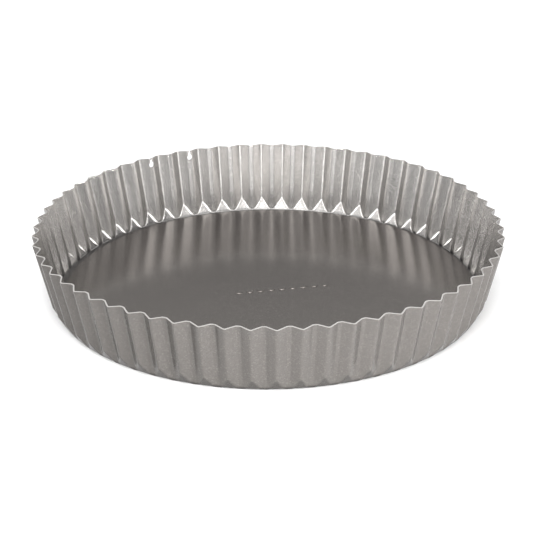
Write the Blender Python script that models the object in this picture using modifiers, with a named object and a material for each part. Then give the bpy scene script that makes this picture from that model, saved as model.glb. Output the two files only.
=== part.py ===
"""Fluted tart pan with a loose base, in metres, +Z up.

The pan is two pieces of coated sheet steel. The fluted ring has a pleated wall whose foot is
folded in to a flat ledge. The loose base is a flat disc that lies on that ledge and lifts out
upwards. The origin is the centre of the ledge's underside, a flute's outer crest points along
+X, and +Y points midway between the two hanging holes.
"""
import math

import bmesh
import bpy
from mathutils import Matrix

# Driving dimensions, measured on the outer face of the ring's sheet
RIM_RADIUS = 0.125
HEIGHT = 0.0375               # at the crests; the ridges stand RIDGE_RISE higher
FLUTES = 62
FLUTE_DEPTH = 0.0032
RIDGE_RISE = 0.0005
RING_SHEET = 0.0007
FOOT_RADIUS = 0.11345
LEDGE_INNER_RADIUS = 0.104
BASE_RADIUS = 0.1109
BASE_SHEET = 0.0007

# The foot: a cone that cuts across the flutes and leaves a triangular facet in each
CHAMFER_RUN_PER_RISE = 0.612
CREST_FACET_TOP = 0.0064
RIDGE_FACET_TOP = 0.0009
FOOT_BEND = 0.0006

# One flute in plan: flats on its crest and its ridge, with a slanting flank between them,
# as the phases of the four folds, in fractions of the pitch from the middle of a crest
CREST_FOLD = 0.09
RIDGE_FOLD = 0.41

# Hanging holes: keyholes in two inward ridges, either side of +Y
HOLE_RIDGES = (14.5, 16.5)
HOLE_RADIUS = 0.0015
HOLE_BELOW_RIM = 0.0036
NECK_HALF_WIDTH = 0.0007
NECK_TOP_BELOW_RIM = 0.0006
HOLE_ARC_STEPS = 10
NECK_ARC_STEPS = 5

# The base lies off centre, as far as its play in the ring lets it slide
REST_GAP = 0.0003
BASE_SHIFT = 0.0012
BASE_SHIFT_BEARING = math.radians(-58.0)
BASE_SEGMENTS = 124

PITCH = 2 * math.pi / FLUTES


def clear_objects():
    for obj in list(bpy.data.objects):
        bpy.data.objects.remove(obj, do_unlink=True)


def new_collection(name):
    collection = bpy.data.collections.new(name)
    bpy.context.scene.collection.children.link(collection)
    return collection


def coated_steel(name, colour, roughness):
    material = bpy.data.materials.new(name)
    material.use_nodes = True
    shader = material.node_tree.nodes["Principled BSDF"]
    shader.inputs["Base Color"].default_value = (*colour, 1.0)
    shader.inputs["Metallic"].default_value = 0.9
    shader.inputs["Roughness"].default_value = roughness
    return material


def wall_column(angle, on_crest):
    """Points down the outer face of the wall at one fold, from the rim to the ledge's edge."""
    rim_radius = RIM_RADIUS if on_crest else RIM_RADIUS - FLUTE_DEPTH
    rim_height = HEIGHT if on_crest else HEIGHT + RIDGE_RISE
    facet_top = CREST_FACET_TOP if on_crest else RIDGE_FACET_TOP
    profile = (
        (rim_radius, rim_height),
        (FOOT_RADIUS + CHAMFER_RUN_PER_RISE * facet_top, facet_top),
        (FOOT_RADIUS + CHAMFER_RUN_PER_RISE * FOOT_BEND / 2, FOOT_BEND / 2),
        (FOOT_RADIUS - FOOT_BEND / 2, 0.0),
        (LEDGE_INNER_RADIUS, 0.0),
    )
    return [(radius * math.cos(angle), radius * math.sin(angle), z) for radius, z in profile]


def build_ring(collection, material):
    """The pleated sheet is one open surface, thickened inwards from its outer face."""
    bm = bmesh.new()
    columns = []
    for flute in range(FLUTES):
        for fold in (-CREST_FOLD, CREST_FOLD, RIDGE_FOLD, 1 - RIDGE_FOLD):
            points = wall_column((flute + fold) * PITCH, abs(fold) == CREST_FOLD)
            columns.append([bm.verts.new(point) for point in points])
    for left, right in zip(columns, columns[1:] + columns[:1]):
        for row in range(len(left) - 1):
            bm.faces.new((left[row], left[row + 1], right[row + 1], right[row]))
    mesh = bpy.data.meshes.new("fluted_ring")
    bm.to_mesh(mesh)
    bm.free()
    mesh.materials.append(material)
    ring = bpy.data.objects.new("fluted_ring", mesh)
    collection.objects.link(ring)
    thickness = ring.modifiers.new("sheet", "SOLIDIFY")
    thickness.thickness = RING_SHEET
    thickness.offset = -1
    thickness.use_even_offset = True
    return ring


def keyhole_outline():
    """The hole seen from outside, (sideways, up) from the centre of its round part."""
    spread = math.asin(NECK_HALF_WIDTH / HOLE_RADIUS)
    start = math.pi / 2 + spread
    sweep = 2 * math.pi - 2 * spread
    outline = []
    for step in range(HOLE_ARC_STEPS + 1):
        angle = start + sweep * step / HOLE_ARC_STEPS
        outline.append((HOLE_RADIUS * math.cos(angle), HOLE_RADIUS * math.sin(angle)))
    neck_centre = HOLE_BELOW_RIM - NECK_TOP_BELOW_RIM - NECK_HALF_WIDTH
    for step in range(NECK_ARC_STEPS + 1):
        angle = math.pi * step / NECK_ARC_STEPS
        outline.append((NECK_HALF_WIDTH * math.cos(angle),
                        neck_centre + NECK_HALF_WIDTH * math.sin(angle)))
    return outline


def keyhole_cutter(name, bearing, collection):
    """A bar of keyhole section that runs outwards along a bearing, through the wall."""
    near, far = 0.115, 0.130
    bm = bmesh.new()
    section = [bm.verts.new((near, side, up)) for side, up in keyhole_outline()]
    face = bm.faces.new(section)
    swept = bmesh.ops.extrude_face_region(bm, geom=[face])
    moved = [item for item in swept["geom"] if isinstance(item, bmesh.types.BMVert)]
    bmesh.ops.translate(bm, verts=moved, vec=(far - near, 0, 0))
    bmesh.ops.recalc_face_normals(bm, faces=bm.faces)
    mesh = bpy.data.meshes.new(name)
    bm.to_mesh(mesh)
    bm.free()
    cutter = bpy.data.objects.new(name, mesh)
    height = HEIGHT + RIDGE_RISE - HOLE_BELOW_RIM
    cutter.matrix_world = (Matrix.Rotation(bearing, 4, "Z")
                           @ Matrix.Translation((0, 0, height)))
    cutter.hide_render = True
    cutter.display_type = "WIRE"
    collection.objects.link(cutter)
    return cutter


def cut_hanging_holes(ring, collection):
    for number, ridge in enumerate(HOLE_RIDGES, start=1):
        cutter = keyhole_cutter(f"hanging_hole_{number}", ridge * PITCH, collection)
        cut = ring.modifiers.new(cutter.name, "BOOLEAN")
        cut.operation = "DIFFERENCE"
        cut.solver = "EXACT"
        cut.object = cutter


def build_base(collection, material):
    """A flat disc, a hair above the ledge that it rests on."""
    bpy.ops.mesh.primitive_cylinder_add(
        vertices=BASE_SEGMENTS,
        radius=BASE_RADIUS,
        depth=BASE_SHEET,
        location=(BASE_SHIFT * math.cos(BASE_SHIFT_BEARING),
                  BASE_SHIFT * math.sin(BASE_SHIFT_BEARING),
                  RING_SHEET + REST_GAP + BASE_SHEET / 2),
    )
    base = bpy.context.object
    base.name = "loose_base"
    base.data.name = "loose_base"
    base.data.materials.append(material)
    for other in list(base.users_collection):
        other.objects.unlink(base)
    collection.objects.link(base)
    base.data.shade_smooth()
    base.data.set_sharp_from_angle(angle=math.radians(40))


def main():
    clear_objects()
    parts = new_collection("tart_pan")
    cutters = new_collection("cutters")
    ring = build_ring(parts, coated_steel("ring_coating", (0.42, 0.39, 0.37), 0.34))
    cut_hanging_holes(ring, cutters)
    build_base(parts, coated_steel("base_coating", (0.30, 0.28, 0.265), 0.28))


main()
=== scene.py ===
"""Looks of the fluted tart pan: fine pleated ring, loose base, coating, lights and camera."""
import math

import bmesh
import bpy
from mathutils import Matrix, Vector


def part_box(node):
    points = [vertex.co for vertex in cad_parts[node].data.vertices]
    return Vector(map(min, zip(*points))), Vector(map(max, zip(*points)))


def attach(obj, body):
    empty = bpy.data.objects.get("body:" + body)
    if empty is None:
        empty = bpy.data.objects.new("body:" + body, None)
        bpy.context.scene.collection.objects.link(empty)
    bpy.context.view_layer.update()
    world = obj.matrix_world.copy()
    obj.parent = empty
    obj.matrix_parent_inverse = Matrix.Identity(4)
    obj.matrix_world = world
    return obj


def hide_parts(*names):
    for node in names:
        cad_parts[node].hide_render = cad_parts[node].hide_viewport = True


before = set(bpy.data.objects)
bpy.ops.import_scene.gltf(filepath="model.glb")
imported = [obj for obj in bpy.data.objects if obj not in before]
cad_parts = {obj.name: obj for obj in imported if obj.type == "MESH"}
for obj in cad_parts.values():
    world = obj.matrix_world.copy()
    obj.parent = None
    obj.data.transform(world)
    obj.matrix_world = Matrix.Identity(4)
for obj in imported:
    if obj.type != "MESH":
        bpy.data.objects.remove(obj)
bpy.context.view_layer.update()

# The two CAD pieces' boxes, in metres
_, RING_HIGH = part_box("fluted_ring")
BASE_LOW, BASE_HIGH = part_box("loose_base")

# The ring, as in the CAD source
RIM_RADIUS = RING_HIGH.x
HEIGHT = 0.0375
FLUTES = 62
PITCH = 2 * math.pi / FLUTES
FLUTE_DEPTH = 0.0032
RIDGE_RISE = 0.00049             # a hair less than the CAD ring's, to stay inside its box
SHEET = 0.0007
FOOT_RADIUS = 0.11345
LEDGE_INNER_RADIUS = 0.104
CHAMFER_RUN_PER_RISE = 0.612
CREST_FACET_TOP = 0.0064
RIDGE_FACET_TOP = 0.0009
HOLE_RIDGES = (14.5, 16.5)
HOLE_RADIUS = 0.0015
HOLE_BELOW_RIM = 0.0036
NECK_HALF_WIDTH = 0.0007
NECK_TOP_BELOW_RIM = 0.0006
HOLE_ARC_STEPS = 32
NECK_ARC_STEPS = 16
CUTTER_START = 0.112             # radius of the cutter's inner end, well inside the wall
CUTTER_LENGTH = 0.02

# The raw cut edge round the rim, dulled
CUT_EDGE_BEVEL = 0.0002
CUT_EDGE_STEPS = 2
SHARP_FROM = math.radians(55)

# One flute in plan: its folds, in fractions of the pitch from the middle of a crest, and how far
# they are rounded
CREST_FOLD = 0.04
RIDGE_FOLD = 0.42
FOLD_ROUNDING = 0.022

# The ridges run parallel to the crests down to a knee just above the facets, and then drop
KNEE_UP_WALL = 0.04
DEPTH_AT_KNEE = 0.0026
FACET_FLARE = 1.6

# How finely the pleated sheet is drawn
COLUMNS_PER_FLUTE = 36
BEND_STEPS = 5
BEND_REACHES = (0.005, 0.0022, 0.0012)   # of the knee, the facet's top and the foot
BEND_SHARE = 0.45                        # the most of a straight stretch that a bend takes up
WALL_STEPS = 10

# The base's rounded edge, as (inset, rise) from its corner
BASE_EDGE = ((0.00025, 0.0), (0.00007, 0.00007), (0.0, 0.00025))
BASE_STEPS = 248

# A generic raised mark in place of the maker's, near the middle of the base: a row of studs,
# each with a side given as (inset, rise)
MARK_BEARING = math.radians(-16.2)
MARK_CENTRE = Vector((0.0065, -0.0033, 0))
STUD_PROFILE = ((0, -0.00005), (0, 0.00003), (0.00035, 0.0004), (0.0005, 0.00044))
STUD_RADIUS = 0.0021
STUD_PITCH = 0.0059
STUD_STEPS = 40
STUDS = 9


def new_mesh_object(name, bm):
    mesh = bpy.data.meshes.new(name)
    bm.to_mesh(mesh)
    bm.free()
    obj = bpy.data.objects.new(name, mesh)
    bpy.context.scene.collection.objects.link(obj)
    return obj


def soft_step(value, low, high):
    """0 below low, 1 above high, a straight ramp between, with rounded corners."""
    t = (value - low) / (high - low)
    rounding = FOLD_ROUNDING / (high - low)
    return (math.hypot(t, rounding) - math.hypot(t - 1, rounding) + 1) / 2


def crest_weight(phase):
    """1 on a crest, 0 on a ridge, and a straight flank between them."""
    away = min(phase, 1 - phase)
    return 1 - soft_step(away, CREST_FOLD, RIDGE_FOLD)


def rounded_polyline(points, reaches, steps):
    """The polyline with each inner corner replaced by a short curve of steps + 1 points."""
    out = [points[0]]
    for before, corner, after, reach in zip(points, points[1:], points[2:], reaches):
        to_before = before - corner
        to_after = after - corner
        start = corner + to_before.normalized() * min(reach, BEND_SHARE * to_before.length)
        end = corner + to_after.normalized() * min(reach, BEND_SHARE * to_after.length)
        for i in range(steps + 1):
            t = i / steps
            out.append(start * (1 - t) ** 2 + corner * 2 * t * (1 - t) + end * t * t)
    out.append(points[-1])
    return out


def ring_column(phase):
    """(radius, z) down the outer face at one place in a flute: rim, knee, facet, foot, ledge."""
    inwards = 1 - crest_weight(phase)
    rim = Vector((RIM_RADIUS - inwards * FLUTE_DEPTH, HEIGHT + inwards * RIDGE_RISE))
    facet_top = RIDGE_FACET_TOP + (1 - inwards) ** FACET_FLARE * (CREST_FACET_TOP - RIDGE_FACET_TOP)
    facet = Vector((FOOT_RADIUS + CHAMFER_RUN_PER_RISE * facet_top, facet_top))
    crest_foot = Vector((FOOT_RADIUS + CHAMFER_RUN_PER_RISE * CREST_FACET_TOP, CREST_FACET_TOP))
    knee = crest_foot.lerp(Vector((RIM_RADIUS, HEIGHT)), KNEE_UP_WALL)
    knee.x -= inwards * DEPTH_AT_KNEE
    foot = Vector((FOOT_RADIUS, 0))
    inner = Vector((LEDGE_INNER_RADIUS, 0))
    column = rounded_polyline([rim, knee, facet, foot, inner], BEND_REACHES, BEND_STEPS)
    return [rim.lerp(column[1], i / WALL_STEPS) for i in range(WALL_STEPS)] + column[1:]


def build_ring():
    """The pleated sheet: its outer face, thickened inwards, with a dulled rim and the hanging holes."""
    bm = bmesh.new()
    flute_columns = [ring_column(step / COLUMNS_PER_FLUTE) for step in range(COLUMNS_PER_FLUTE)]
    columns = []
    for place in range(FLUTES * COLUMNS_PER_FLUTE):
        angle = place / COLUMNS_PER_FLUTE * PITCH
        c, s = math.cos(angle), math.sin(angle)
        column = flute_columns[place % COLUMNS_PER_FLUTE]
        columns.append([bm.verts.new((p.x * c, p.x * s, p.y)) for p in column])
    for left, right in zip(columns, columns[1:] + columns[:1]):
        for row in range(len(left) - 1):
            bm.faces.new((left[row], left[row + 1], right[row + 1], right[row]))
    ring = new_mesh_object("pleated_ring", bm)
    ring.data.shade_smooth()
    thick = ring.modifiers.new("sheet", "SOLIDIFY")
    thick.thickness = SHEET
    thick.offset = -1
    thick.use_even_offset = True
    edge = ring.modifiers.new("cut_edge", "BEVEL")
    edge.width = CUT_EDGE_BEVEL
    edge.segments = CUT_EDGE_STEPS
    edge.limit_method = "ANGLE"
    edge.angle_limit = SHARP_FROM
    edge.harden_normals = True
    for ridge in HOLE_RIDGES:
        cut = ring.modifiers.new("hanging_hole", "BOOLEAN")
        cut.operation = "DIFFERENCE"
        cut.solver = "EXACT"
        cut.object = keyhole_cutter(ridge * PITCH)
    bake_modifiers(ring)
    return ring


def keyhole_cutter(bearing):
    """A bar of keyhole section that runs outwards along a bearing, through the wall."""
    spread = math.asin(NECK_HALF_WIDTH / HOLE_RADIUS)
    start = math.pi / 2 + spread
    sweep = 2 * math.pi - 2 * spread
    outline = []
    for step in range(HOLE_ARC_STEPS + 1):
        angle = start + sweep * step / HOLE_ARC_STEPS
        outline.append((HOLE_RADIUS * math.cos(angle), HOLE_RADIUS * math.sin(angle)))
    neck_centre = HOLE_BELOW_RIM - NECK_TOP_BELOW_RIM - NECK_HALF_WIDTH
    for step in range(NECK_ARC_STEPS + 1):
        angle = math.pi * step / NECK_ARC_STEPS
        outline.append((NECK_HALF_WIDTH * math.cos(angle),
                        neck_centre + NECK_HALF_WIDTH * math.sin(angle)))
    bm = bmesh.new()
    face = bm.faces.new([bm.verts.new((CUTTER_START, side, up)) for side, up in outline])
    swept = bmesh.ops.extrude_face_region(bm, geom=[face])
    moved = [item for item in swept["geom"] if isinstance(item, bmesh.types.BMVert)]
    bmesh.ops.translate(bm, verts=moved, vec=(CUTTER_LENGTH, 0, 0))
    bmesh.ops.recalc_face_normals(bm, faces=bm.faces)
    height = HEIGHT + RIDGE_RISE - HOLE_BELOW_RIM
    turn = Matrix.Rotation(bearing, 4, "Z") @ Matrix.Translation((0, 0, height))
    bmesh.ops.transform(bm, matrix=turn, verts=bm.verts)
    return new_mesh_object("keyhole_cutter", bm)


def bake_modifiers(obj):
    """Put the modified shape into the mesh, and remove the objects that cut it."""
    shaped = obj.evaluated_get(bpy.context.evaluated_depsgraph_get())
    mesh = bpy.data.meshes.new_from_object(shaped)
    cutters = [m.object for m in obj.modifiers if m.type == "BOOLEAN"]
    obj.modifiers.clear()
    obj.data = mesh
    for cutter in cutters:
        bpy.data.objects.remove(cutter)


def turn_profile(bm, centre, profile, steps):
    """A solid turned about an upright axis: (radius, z) up its side, and a flat cap at each end."""
    angles = [2 * math.pi * step / steps for step in range(steps)]
    rings = []
    for radius, z in profile:
        rings.append([bm.verts.new(centre + Vector((radius * math.cos(a), radius * math.sin(a), z)))
                      for a in angles])
    for lower, upper in zip(rings, rings[1:]):
        for i in range(steps):
            j = (i + 1) % steps
            bm.faces.new((lower[i], lower[j], upper[j], upper[i])).smooth = True
    bm.faces.new(rings[0][::-1])
    bm.faces.new(rings[-1])


def build_base():
    """The flat disc, with the edge that blanking rounds over."""
    middle = (BASE_LOW + BASE_HIGH) / 2
    radius = (BASE_HIGH.x - BASE_LOW.x) / 2
    low, high = BASE_LOW.z, BASE_HIGH.z
    profile = [(radius - inset, low + rise) for inset, rise in BASE_EDGE]
    profile += [(radius - inset, high - rise) for inset, rise in reversed(BASE_EDGE)]
    bm = bmesh.new()
    turn_profile(bm, Vector((middle.x, middle.y, 0)), profile, BASE_STEPS)
    return new_mesh_object("base_disc", bm)


def build_mark():
    """A plain row of equal raised round studs on the base."""
    bm = bmesh.new()
    along = Vector((math.cos(MARK_BEARING), math.sin(MARK_BEARING), 0))
    middle = MARK_CENTRE + Vector((0, 0, BASE_HIGH.z))
    profile = [(STUD_RADIUS - inset, rise) for inset, rise in STUD_PROFILE]
    for number in range(STUDS):
        offset = along * STUD_PITCH * (number - (STUDS - 1) / 2)
        turn_profile(bm, middle + offset, profile, STUD_STEPS)
    return new_mesh_object("base_mark", bm)


def add_node(tree, kind, inputs, **settings):
    """A shader node with its settings, and with its inputs set or linked."""
    node = tree.nodes.new(kind)
    for key, value in settings.items():
        setattr(node, key, value)
    for socket, value in inputs.items():
        if isinstance(value, bpy.types.NodeSocket):
            tree.links.new(value, node.inputs[socket])
        else:
            node.inputs[socket].default_value = value
    return node


def math_node(tree, operation, first, second):
    return add_node(tree, "ShaderNodeMath", {0: first, 1: second}, operation=operation).outputs[0]


def ramp(tree, value, low, high, to_low=0.0, to_high=1.0):
    inputs = {"Value": value, "From Min": low, "From Max": high, "To Min": to_low, "To Max": to_high}
    return add_node(tree, "ShaderNodeMapRange", inputs).outputs["Result"]


def mix_colours(tree, factor, first, second):
    inputs = {"Fac": factor, "Color1": first, "Color2": second}
    return add_node(tree, "ShaderNodeMixRGB", inputs).outputs["Color"]


def noise(tree, vector, scale, detail=2.0):
    inputs = {"Vector": vector, "Scale": scale, "Detail": detail}
    return add_node(tree, "ShaderNodeTexNoise", inputs).outputs["Fac"]


# The coatings' faces: colour, metallic and roughness, and how near to edge-on one turns to the other
RING_INSIDE = ((0.37, 0.359, 0.348), 0.95, 0.21)
RING_OUTSIDE = ((0.087, 0.0813, 0.0766), 0.5, 0.2)
BASE_FACE = ((0.14, 0.129, 0.12), 0.82, 0.185)
OUTSIDE_BLEND = 0.1
SPECULAR_LEVEL = 0.2

CUT_EDGE = (0.44, 0.427, 0.414, 1)   # bare steel at the rim
CUT_EDGE_ROUGHER = 0.1
CUT_EDGE_UP = (0.8, 0.95)            # upward part of the normal, over which the edge begins
CUT_EDGE_BELOW_RIM = (0.001, 0.0005)

FACET_PAINTED_SHADE = 0.6                     # painted shade on the outer facets that face down towards the floor
FACET_SHADE_UP = (-0.5, -0.28)
SEAM_PAINTED_SHADE = 0.4                      # painted shade, low down in the seam and along the foot
SEAM_SHADE_HEIGHTS = (0.0008, 0.0022)

# Patterns in the coating, in features per metre
GRAIN_SCALE = 1700
CLOUD_SCALE = 55
CLOUD_DETAIL = 3.0
DRAWN_SCALE = 1500
FLAKE_SCALE = 1600
DRAWN_STRETCH = (1, 1, 0.05)         # the marks of drawing run up and down the wall
NOISE_RANGE = (0.3, 0.7)             # where nearly all of a noise's values lie

# How far each pattern takes the coating's tone, or its roughness
GRAIN_TONE = (0.84, 1.08)
CLOUD_TONE = (0.98, 1.02)
DRAWN_TONE = (0.99, 1.01)
CLOUD_ROUGHNESS = (-0.006, 0.006)
SPARKLE = 0.35
SPARKLE_RARITY = 6
BUMP_STRENGTH = 0.15
BUMP_HEIGHT = 0.00002


def outside_mask(tree, place, normal):
    """0 on faces that look towards the pan's axis, 1 on those that look away from it."""
    radial = add_node(tree, "ShaderNodeVectorMath", {0: place, 1: (1, 1, 0)}, operation="MULTIPLY")
    outward = add_node(tree, "ShaderNodeVectorMath", {0: radial.outputs[0]}, operation="NORMALIZE")
    facing = add_node(tree, "ShaderNodeVectorMath", {0: outward.outputs[0], 1: normal},
                      operation="DOT_PRODUCT")
    return ramp(tree, facing.outputs["Value"], -OUTSIDE_BLEND, OUTSIDE_BLEND)


def coating_tone(tree, place, grain, clouds):
    """What the colour is multiplied by: fine grain with a few bright flakes, clouds, faint marks."""
    drawn = add_node(tree, "ShaderNodeVectorMath", {0: place, 1: DRAWN_STRETCH}, operation="MULTIPLY")
    marks = noise(tree, drawn.outputs[0], DRAWN_SCALE)
    flakes = add_node(tree, "ShaderNodeTexVoronoi", {"Vector": place, "Scale": FLAKE_SCALE})
    flake = add_node(tree, "ShaderNodeSeparateColor", {"Color": flakes.outputs["Color"]}).outputs[0]
    sparkle = math_node(tree, "POWER", flake, SPARKLE_RARITY)
    sparkle = math_node(tree, "MULTIPLY", sparkle, SPARKLE)
    tone = math_node(tree, "ADD", ramp(tree, grain, *NOISE_RANGE, *GRAIN_TONE), sparkle)
    tone = math_node(tree, "MULTIPLY", tone, ramp(tree, clouds, *NOISE_RANGE, *CLOUD_TONE))
    return math_node(tree, "MULTIPLY", tone, ramp(tree, marks, *NOISE_RANGE, *DRAWN_TONE))


def coating(name, inside, outside, is_ring):
    """Satin coating with a colour, metallic and roughness on each side; the ring's has painted shade low
    in the seam and on its downward facets.
    """
    material = bpy.data.materials.new(name)
    material.use_nodes = True
    tree = material.node_tree
    shader = tree.nodes["Principled BSDF"]
    shader.inputs["Specular IOR Level"].default_value = SPECULAR_LEVEL
    coords = add_node(tree, "ShaderNodeTexCoord", {})
    place, normal = coords.outputs["Object"], coords.outputs["Normal"]
    up = add_node(tree, "ShaderNodeSeparateXYZ", {"Vector": normal}).outputs["Z"]
    height = add_node(tree, "ShaderNodeSeparateXYZ", {"Vector": place}).outputs["Z"]
    on_outside = outside_mask(tree, place, normal)
    edge_low, edge_high = (HEIGHT - below for below in CUT_EDGE_BELOW_RIM)
    on_cut = math_node(tree, "MULTIPLY", ramp(tree, up, *CUT_EDGE_UP),
                       ramp(tree, height, edge_low, edge_high))
    grain = noise(tree, place, GRAIN_SCALE)
    clouds = noise(tree, place, CLOUD_SCALE, CLOUD_DETAIL)

    tone = coating_tone(tree, place, grain, clouds)
    if is_ring:
        # Painted shade: the colour is darkened low down in the seam and on the outer facets that face
        # down
        painted_shade = math_node(tree, "MINIMUM", ramp(tree, height, *SEAM_SHADE_HEIGHTS, SEAM_PAINTED_SHADE, 1.0),
                           ramp(tree, up, *FACET_SHADE_UP, FACET_PAINTED_SHADE, 1.0))
        tone = math_node(tree, "MULTIPLY", tone, painted_shade)
    colour = mix_colours(tree, on_outside, (*inside[0], 1), (*outside[0], 1))
    colour = add_node(tree, "ShaderNodeVectorMath", {0: colour, "Scale": tone},
                      operation="SCALE").outputs[0]
    tree.links.new(mix_colours(tree, on_cut, colour, CUT_EDGE), shader.inputs["Base Color"])

    tree.links.new(ramp(tree, on_outside, 0, 1, inside[1], outside[1]), shader.inputs["Metallic"])

    satin = math_node(tree, "ADD", ramp(tree, clouds, *NOISE_RANGE, *CLOUD_ROUGHNESS),
                      ramp(tree, on_outside, 0, 1, inside[2], outside[2]))
    satin = math_node(tree, "ADD", satin, math_node(tree, "MULTIPLY", on_cut, CUT_EDGE_ROUGHER))
    tree.links.new(satin, shader.inputs["Roughness"])

    bump = add_node(tree, "ShaderNodeBump",
                    {"Strength": BUMP_STRENGTH, "Distance": BUMP_HEIGHT, "Height": grain})
    tree.links.new(bump.outputs["Normal"], shader.inputs["Normal"])
    return material


# Camera: it looks at the rim's centre from a bearing, an elevation and a distance, and is then
# tipped down, aside and round by the three small angles
PAN_BEARING = math.radians(27.95)
VIEW_ELEVATION = math.radians(23.1255)
VIEW_DISTANCE = 1.0697
LENS = 136.23                 # millimetres, as is the sensor
SENSOR_WIDTH = 36
CLIP_START = 0.05
AIM_DOWN = math.radians(1.1101)
AIM_ASIDE = math.radians(0.0484)
ROLL = math.radians(0.26868)


def add_camera():
    data = bpy.data.cameras.new("camera")
    data.sensor_width = SENSOR_WIDTH
    data.lens = LENS
    data.clip_start = CLIP_START
    cam = bpy.data.objects.new("camera", data)
    bpy.context.scene.collection.objects.link(cam)
    e = VIEW_ELEVATION
    turn = Matrix.Rotation(-PAN_BEARING, 3, "Z")
    back = turn @ Vector((0, -math.cos(e), math.sin(e)))
    right = turn @ Vector((1, 0, 0))
    up = turn @ Vector((0, math.sin(e), math.cos(e)))
    pose = Matrix((right, up, back)).transposed() @ Matrix.Rotation(-ROLL, 3, "Z")
    pose = pose @ Matrix.Rotation(-AIM_DOWN, 3, "X") @ Matrix.Rotation(AIM_ASIDE, 3, "Y")
    target = Vector((0, 0, HEIGHT))
    cam.matrix_world = Matrix.Translation(target + back * VIEW_DISTANCE) @ pose.to_4x4()
    bpy.context.scene.camera = cam


# Softboxes round the pan, facing it: (bearing from the camera's right, elevation, width, height,
# power). Most of the light comes from the camera's side, in a low band and a higher one. Four weak
# ones at the back light the wall's inner face, and a wide one hangs overhead
LIGHT_DISTANCE = 2.0
SOFTBOXES = (
    (-174, 13, 1.0, 0.65, 13), (-144, 16, 1.25, 0.65, 14), (-108, 16, 1.25, 0.65, 15),
    (-72, 16, 1.25, 0.65, 15), (-36, 16, 1.25, 0.65, 13), (-6, 13, 1.0, 0.65, 11),
    (132, 13, 0.9, 0.85, 3), (-160, 38, 1.0, 0.8, 4), (-124, 38, 1.0, 0.8, 4),
    (-88, 38, 1.0, 0.8, 6), (-50, 38, 1.0, 0.8, 4), (-12, 52, 1.2, 0.8, 3),
    (36, 36, 0.9, 0.8, 3), (156, 36, 0.9, 0.8, 3), (95, 36, 1.5, 0.8, 3),
    (-140, 60, 0.9, 0.9, 4), (-103, 60, 0.9, 0.9, 13), (-40, 60, 0.9, 0.9, 2),
    (-90, 89, 1.6, 1.6, 26),
)

# A strip of light that stands on the floor to the right of the camera: it is hardly higher than
# the rim, so it models the flutes outside and barely reaches the inside
STRIP_BEARING = -62
STRIP_DISTANCE = 0.6
STRIP_LENGTH = 0.5
STRIP_HEIGHT = 0.04
STRIP_POWER = 9

# The floor is plain pale paper, and the world is a faint even white
FLOOR_SIZE = 6
FLOOR_COLOUR = (0.88, 0.88, 0.88, 1)
FLOOR_ROUGHNESS = 0.25
WORLD_COLOUR = (1, 1, 1, 1)
WORLD_STRENGTH = 0.15


def area_light(name, place, aim, width, height, power):
    data = bpy.data.lights.new(name, "AREA")
    data.shape = "RECTANGLE"
    data.size = width
    data.size_y = height
    data.energy = power
    lamp = bpy.data.objects.new(name, data)
    bpy.context.scene.collection.objects.link(lamp)
    lamp.location = place
    lamp.rotation_euler = (aim - place).to_track_quat("-Z", "Y").to_euler()
    lamp.visible_camera = False


def direction(bearing, elevation):
    """Unit vector at a bearing from the camera's right and an elevation, both in degrees."""
    b = math.radians(bearing) - PAN_BEARING
    e = math.radians(elevation)
    return Vector((math.cos(b) * math.cos(e), math.sin(b) * math.cos(e), math.sin(e)))


def softbox(bearing, elevation, width, height, power):
    place = direction(bearing, elevation) * LIGHT_DISTANCE
    area_light("softbox", place, Vector((0, 0, 0)), width, height, power)


def floor_strip():
    middle = Vector((0, 0, STRIP_HEIGHT / 2))
    place = middle + direction(STRIP_BEARING, 0) * STRIP_DISTANCE
    area_light("strip", place, middle, STRIP_LENGTH, STRIP_HEIGHT, STRIP_POWER)


def add_floor():
    bpy.ops.mesh.primitive_plane_add(size=FLOOR_SIZE)
    floor = bpy.context.object
    floor.name = "floor"
    paper = bpy.data.materials.new("floor_paper")
    paper.use_nodes = True
    shader = paper.node_tree.nodes["Principled BSDF"]
    shader.inputs["Base Color"].default_value = FLOOR_COLOUR
    shader.inputs["Roughness"].default_value = FLOOR_ROUGHNESS
    floor.data.materials.append(paper)


def add_world():
    world = bpy.data.worlds.new("world")
    world.use_nodes = True
    background = world.node_tree.nodes["Background"]
    background.inputs["Color"].default_value = WORLD_COLOUR
    background.inputs["Strength"].default_value = WORLD_STRENGTH
    bpy.context.scene.world = world


ring = build_ring()
ring.data.materials.append(coating("ring_coating", RING_INSIDE, RING_OUTSIDE, is_ring=True))
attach(ring, "ring")
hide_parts("fluted_ring")

base = build_base()
base_coating = coating("base_coating", BASE_FACE, BASE_FACE, is_ring=False)
base.data.materials.append(base_coating)
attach(base, "base")
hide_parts("loose_base")

mark = build_mark()
mark.data.materials.append(base_coating)
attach(mark, "base")

add_camera()
add_floor()
add_world()
for box in SOFTBOXES:
    softbox(*box)
floor_strip()
bpy.context.scene.view_settings.view_transform = "Standard"
